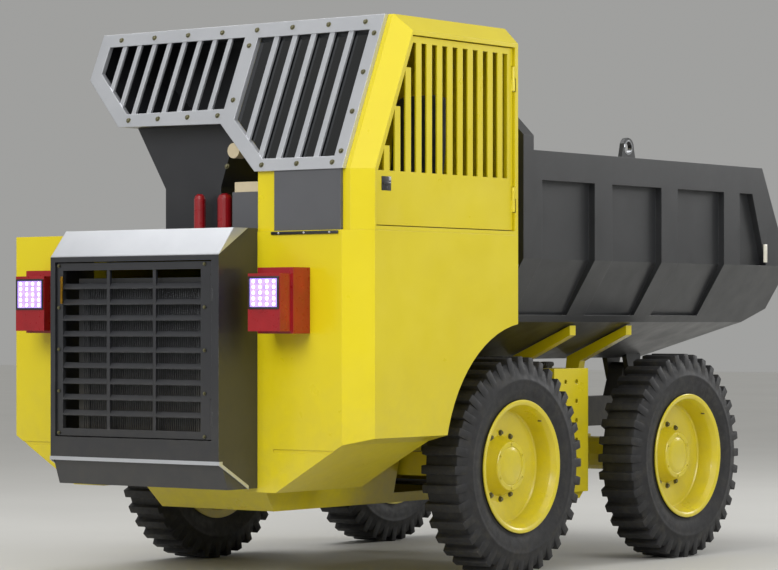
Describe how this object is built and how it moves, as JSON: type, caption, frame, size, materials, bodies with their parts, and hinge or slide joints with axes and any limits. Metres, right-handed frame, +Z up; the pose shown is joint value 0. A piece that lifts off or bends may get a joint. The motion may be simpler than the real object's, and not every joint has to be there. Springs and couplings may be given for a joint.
{
  "type": "site dumper",
  "caption": "Two-axle site dumper with a tipping tub, half-width cab, overhead air housing behind a raked guard, hinged grille and lamps.",
  "frame": {"origin": "bottom centre of the whole vehicle's box, on the ground", "axes": "+Y to the rear along the vehicle, +X to the driver's left, +Z up"},
  "size_m": [3.828, 7.243, 4.513],
  "materials": {
    "yellow_paint": "gloss lemon yellow enamel",
    "tub_grey": "satin charcoal paint, scuffed",
    "module_grey": "satin graphite paint",
    "scuttle_grey": "satin mid-grey paint",
    "frame_grey": "satin chassis paint",
    "bright_trim": "satin silver",
    "engine_iron": "painted castings",
    "chrome_rod": "ground and chromed rod",
    "tyre_black": "matt tyre rubber",
    "dark_glass": "tinted laminated glass",
    "lamp_red": "gloss red",
    "lit_panel": "lit violet-white panel",
    "beige_lamp": "beige lamp shell",
    "seat_cloth": "woven seat cloth",
    "black_plastic": "moulded black plastic"
  },
  "bodies": {
    "chassis": {"main_frame": "frame_grey", "engine_bay": "yellow_paint", "fender_left": "yellow_paint", "fender_right": "yellow_paint", "grille_surround": "module_grey", "grille_trim": "bright_trim", "radiator": "frame_grey", "engine_block": "engine_iron", "driveline": "engine_iron", "rear_axle": "yellow_paint", "front_axle": "yellow_paint", "suspension_struts": "frame_grey", "belly_guard": "yellow_paint", "side_tanks": "yellow_paint", "cradle_arms": "yellow_paint", "deck_plate": "scuttle_grey", "cab_shell": "yellow_paint", "scuttle_panel": "scuttle_grey", "guard_frame": "bright_trim", "windscreen": "dark_glass", "intake_housing": "module_grey", "intake_duct": "module_grey", "air_bottles": "lamp_red", "lamp_housings": "lamp_red", "lamp_panels": "lit_panel", "work_lamps": "beige_lamp", "driver_seat": "seat_cloth", "steering_column": "black_plastic"},
    "dump_body": {"dump_body": "tub_grey"},
    "hoist_barrel_left": {"hoist_barrel_left": "engine_iron"},
    "hoist_rod_left": {"hoist_rod_left": "chrome_rod"},
    "hoist_barrel_right": {"hoist_barrel_right": "engine_iron"},
    "hoist_rod_right": {"hoist_rod_right": "chrome_rod"},
    "knuckle_left": {"knuckle_left": "engine_iron"},
    "knuckle_right": {"knuckle_right": "engine_iron"},
    "tie_rod": {"tie_rod": "engine_iron"},
    "wheel_front_left": {"rim_front_left": "yellow_paint", "tyre_front_left": "tyre_black"},
    "wheel_front_right": {"rim_front_right": "yellow_paint", "tyre_front_right": "tyre_black"},
    "wheel_rear_left": {"rim_rear_left": "yellow_paint", "tyre_rear_left": "tyre_black"},
    "wheel_rear_right": {"rim_rear_right": "yellow_paint", "tyre_rear_right": "tyre_black"},
    "cab_door": {"cab_door": "yellow_paint"},
    "grille_door": {"grille_door": "module_grey"}
  },
  "joints": [
    {"name": "dump_tilt", "type": "hinge", "parent": "chassis", "child": "dump_body", "pos_m": [0, 2.4755, 1.62], "axis": [-1, 0, 0], "range_deg": [0, 50]},
    {"name": "steer_left", "type": "hinge", "parent": "chassis", "child": "knuckle_left", "pos_m": [1.4, -0.8745, 0.91], "axis": [0, 0, 1], "range_deg": [-30, 30]},
    {"name": "steer_right", "type": "hinge", "parent": "chassis", "child": "knuckle_right", "pos_m": [-1.4, -0.8745, 0.91], "axis": [0, 0, 1], "range_deg": [-30, 30]},
    {"name": "tie_rod_slide", "type": "slide", "parent": "chassis", "child": "tie_rod", "axis": [1, 0, 0], "range_m": [-0.12, 0.12]},
    {"name": "hoist_swing_left", "type": "hinge", "parent": "chassis", "child": "hoist_barrel_left", "pos_m": [0.33, -0.4245, 1.285], "axis": [1, 0, 0], "range_deg": [0, 21.46]},
    {"name": "hoist_stroke_left", "type": "slide", "parent": "hoist_barrel_left", "child": "hoist_rod_left", "axis": [0, 0.9606, 0.2779], "range_m": [0, 1.0538]},
    {"name": "hoist_swing_right", "type": "hinge", "parent": "chassis", "child": "hoist_barrel_right", "pos_m": [-0.33, -0.4245, 1.285], "axis": [1, 0, 0], "range_deg": [0, 21.46]},
    {"name": "hoist_stroke_right", "type": "slide", "parent": "hoist_barrel_right", "child": "hoist_rod_right", "axis": [0, 0.9606, 0.2779], "range_m": [0, 1.0538]},
    {"name": "spin_front_left", "type": "hinge", "parent": "knuckle_left", "child": "wheel_front_left", "pos_m": [1.642, -0.8745, 0.91], "axis": [1, 0, 0], "continuous": true},
    {"name": "spin_front_right", "type": "hinge", "parent": "knuckle_right", "child": "wheel_front_right", "pos_m": [-1.642, -0.8745, 0.91], "axis": [1, 0, 0], "continuous": true},
    {"name": "spin_rear_left", "type": "hinge", "parent": "chassis", "child": "wheel_rear_left", "pos_m": [1.642, 1.7255, 0.91], "axis": [1, 0, 0], "continuous": true},
    {"name": "spin_rear_right", "type": "hinge", "parent": "chassis", "child": "wheel_rear_right", "pos_m": [-1.642, 1.7255, 0.91], "axis": [1, 0, 0], "continuous": true},
    {"name": "cab_door_swing", "type": "hinge", "parent": "chassis", "child": "cab_door", "pos_m": [1.8934, -1.0935, 3.5], "axis": [0, 0, 1], "range_deg": [0, 80]},
    {"name": "grille_door_swing", "type": "hinge", "parent": "chassis", "child": "grille_door", "pos_m": [0.815, -3.6009, 1.9], "axis": [0, 0, 1], "range_deg": [0, 95]}
  ],
  "couplings": [
    {"joint": "steer_right", "follows": "steer_left", "ratio": 1},
    {"joint": "tie_rod_slide", "follows": "steer_left", "m_per_rad": -0.21},
    {"joint": "hoist_swing_left", "follows": "dump_tilt", "ratio": 0.42822},
    {"joint": "hoist_stroke_left", "follows": "dump_tilt", "m_per_rad": 1.2052},
    {"joint": "hoist_swing_right", "follows": "dump_tilt", "ratio": 0.42822},
    {"joint": "hoist_stroke_right", "follows": "dump_tilt", "m_per_rad": 1.2052}
  ]
}
